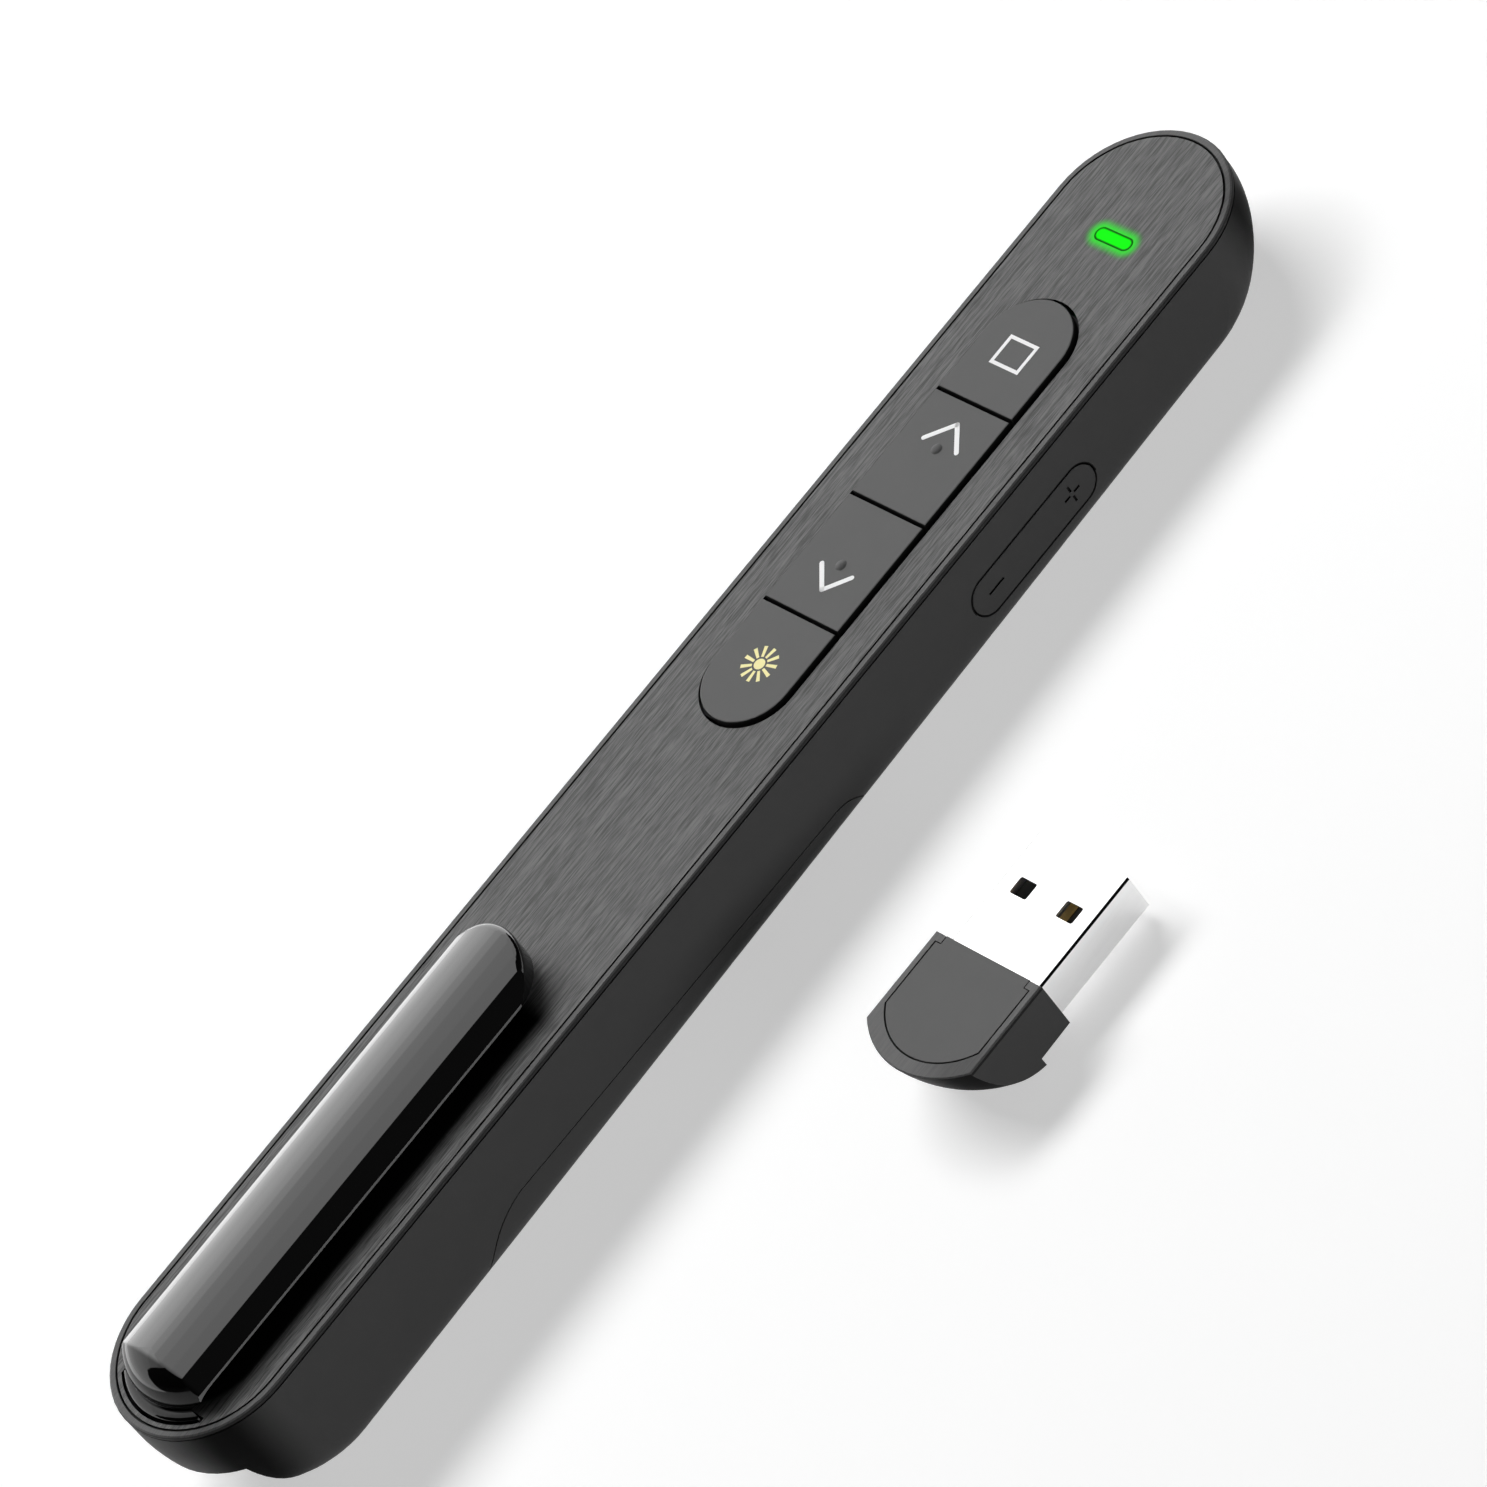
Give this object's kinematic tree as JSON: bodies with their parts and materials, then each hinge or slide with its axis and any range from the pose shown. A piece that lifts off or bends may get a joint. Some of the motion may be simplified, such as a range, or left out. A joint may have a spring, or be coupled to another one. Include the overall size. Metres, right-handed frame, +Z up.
{
  "type": "wireless presentation clicker",
  "caption": "Pen-shaped wireless presentation clicker with thumb keys, a side volume rocker, a pocket clip and a laser window, and its plug-in USB receiver beside it.",
  "frame": {"origin": "middle of the flat underside of the pen, on the battery door, at the pen's mid length and mid width", "axes": "+Y towards the nose with the laser window, +Z up out of the key face, +X towards the volume rocker and the receiver"},
  "size_m": [0.0573, 0.1553, 0.0192],
  "materials": {
    "body_plastic": "fine satin moulded plastic, dark grey",
    "plate_brushed": "grey with fine brushed lines along the pen",
    "key_plastic": "soft matte grey with printed icons",
    "rocker_plastic": "satin dark grey with sunk plus and minus marks",
    "plunger_plastic": "plain moulded plastic",
    "switch_plastic": "plain moulded plastic",
    "board_laminate": "solder-masked board",
    "screw_steel": "plated steel",
    "spring_steel": "nickel-plated spring steel",
    "chip_plastic": "moulded package",
    "crystal_can": "steel can",
    "led_plastic": "plain package",
    "lamp_green": "translucent green, lit",
    "barrel_brass": "turned brass",
    "lens_clear": "clear lens",
    "bezel_metal": "dark anodised ring",
    "clip_gloss": "polished black",
    "clip_rubber": "matt rubber",
    "cell_sleeve": "plain printed sleeve",
    "receiver_top_plastic": "satin moulded plastic, grey",
    "usb_metal": "bright nickel-plated steel",
    "tongue_plastic": "black moulded plastic",
    "contact_gold": "gold flash"
  },
  "bodies": {
    "housing": {"housing": "body_plastic", "face_plate": "plate_brushed", "main_board": "board_laminate", "board_screws": "screw_steel", "key_switches": "switch_plastic", "controller_chip": "chip_plastic", "crystal": "crystal_can", "lamp_led": "led_plastic", "lamp_light_guide": "lamp_green", "rocker_pin": "screw_steel", "side_switch_board": "board_laminate", "side_switches": "switch_plastic", "laser_barrel": "barrel_brass", "laser_diode": "screw_steel", "laser_lens": "lens_clear", "laser_bezel": "bezel_metal", "clip_pin": "screw_steel", "clip_spring": "spring_steel", "battery_cell": "cell_sleeve", "cell_nub": "spring_steel", "contact_plus": "spring_steel", "contact_minus": "spring_steel", "contact_spring": "spring_steel"},
    "key_laser": {"key_laser": "key_plastic", "plunger_laser": "plunger_plastic"},
    "key_page_down": {"key_page_down": "key_plastic", "plunger_page_down": "plunger_plastic"},
    "key_page_up": {"key_page_up": "key_plastic", "plunger_page_up": "plunger_plastic"},
    "key_blank_screen": {"key_blank_screen": "key_plastic", "plunger_blank_screen": "plunger_plastic"},
    "volume_rocker": {"volume_rocker": "rocker_plastic"},
    "plunger_volume_down": {"plunger_volume_down": "plunger_plastic"},
    "plunger_volume_up": {"plunger_volume_up": "plunger_plastic"},
    "clip": {"clip": "clip_gloss", "clip_grip_pad": "clip_rubber"},
    "battery_door": {"battery_door": "body_plastic"},
    "receiver": {"receiver_body": "body_plastic", "receiver_cap": "receiver_top_plastic", "usb_shell": "usb_metal", "usb_tongue": "tongue_plastic", "usb_contacts": "contact_gold", "receiver_board": "board_laminate", "receiver_chip": "chip_plastic"}
  },
  "joints": [
    {"name": "key_laser_press", "type": "slide", "parent": "housing", "child": "key_laser", "axis": [0, 0.0251, 0.9997], "range_m": [-0.00035, 0], "stiffness_N_per_m": 1500},
    {"name": "key_page_down_press", "type": "slide", "parent": "housing", "child": "key_page_down", "axis": [0, 0.0251, 0.9997], "range_m": [-0.00035, 0], "stiffness_N_per_m": 1500},
    {"name": "key_page_up_press", "type": "slide", "parent": "housing", "child": "key_page_up", "axis": [0, 0.0251, 0.9997], "range_m": [-0.00035, 0], "stiffness_N_per_m": 1500},
    {"name": "key_blank_screen_press", "type": "slide", "parent": "housing", "child": "key_blank_screen", "axis": [0, 0.0251, 0.9997], "range_m": [-0.00035, 0], "stiffness_N_per_m": 1500},
    {"name": "volume_rocker_tilt", "type": "hinge", "parent": "housing", "child": "volume_rocker", "pos_m": [0.0083, 0.03702, 0.00501], "axis": [0, 0.0251, 0.9997], "range_deg": [-2.5, 2.5], "stiffness_Nm_per_rad": 0.03},
    {"name": "plunger_volume_down_press", "type": "slide", "parent": "housing", "child": "plunger_volume_down", "axis": [1, 0, 0], "range_m": [-0.00025, 0], "stiffness_N_per_m": 1200},
    {"name": "plunger_volume_up_press", "type": "slide", "parent": "housing", "child": "plunger_volume_up", "axis": [1, 0, 0], "range_m": [-0.00025, 0], "stiffness_N_per_m": 1200},
    {"name": "clip_lift", "type": "hinge", "parent": "housing", "child": "clip", "pos_m": [0, -0.07364, 0.01239], "axis": [1, 0, 0], "range_deg": [0, 6], "stiffness_Nm_per_rad": 1.5, "deforming": ["clip_spring"]},
    {"name": "battery_door_swing", "type": "hinge", "parent": "housing", "child": "battery_door", "pos_m": [0, 0.0095, 0], "axis": [1, 0, 0], "range_deg": [0, 30]},
    {"name": "receiver_lift", "type": "slide", "parent": "housing", "child": "receiver", "axis": [0, 0, 1], "range_m": [0, 0.03]}
  ]
}
